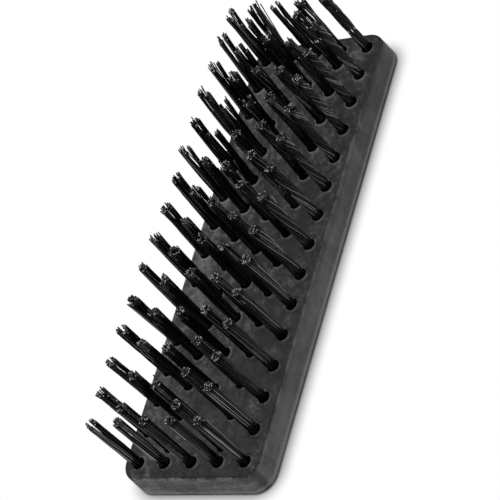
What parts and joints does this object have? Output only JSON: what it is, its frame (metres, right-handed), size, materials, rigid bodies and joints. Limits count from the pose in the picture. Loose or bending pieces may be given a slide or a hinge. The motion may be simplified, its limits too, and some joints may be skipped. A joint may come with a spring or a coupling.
{
  "type": "pool wall brush",
  "caption": "Flat rectangular brush block with rounded corners, filled with staggered tufts of stiff bristles, for scrubbing pool walls and tiles.",
  "frame": {"origin": "centre of the flat back that the brush lies on", "axes": "+X across the block, +Y along its length, +Z from the back up to the bristle tips"},
  "size_m": [0.065, 0.203, 0.0445],
  "materials": {
    "block_plastic": "moulded, lightly scuffed",
    "bristle": "extruded filament, satin",
    "anchor_wire": "drawn flat wire"
  },
  "bodies": {
    "root": {"block": "block_plastic", "tuft_row_01": "bristle", "tuft_row_02": "bristle", "tuft_row_03": "bristle", "tuft_row_04": "bristle", "tuft_row_05": "bristle", "tuft_row_06": "bristle", "tuft_row_07": "bristle", "tuft_row_08": "bristle", "tuft_row_09": "bristle", "tuft_row_10": "bristle", "tuft_row_11": "bristle", "tuft_row_12": "bristle", "tuft_row_13": "bristle", "tuft_row_14": "bristle", "tuft_row_15": "bristle", "anchor_row_01": "anchor_wire", "anchor_row_02": "anchor_wire", "anchor_row_03": "anchor_wire", "anchor_row_04": "anchor_wire", "anchor_row_05": "anchor_wire", "anchor_row_06": "anchor_wire", "anchor_row_07": "anchor_wire", "anchor_row_08": "anchor_wire", "anchor_row_09": "anchor_wire", "anchor_row_10": "anchor_wire", "anchor_row_11": "anchor_wire", "anchor_row_12": "anchor_wire", "anchor_row_13": "anchor_wire", "anchor_row_14": "anchor_wire", "anchor_row_15": "anchor_wire"}
  },
  "joints": []
}
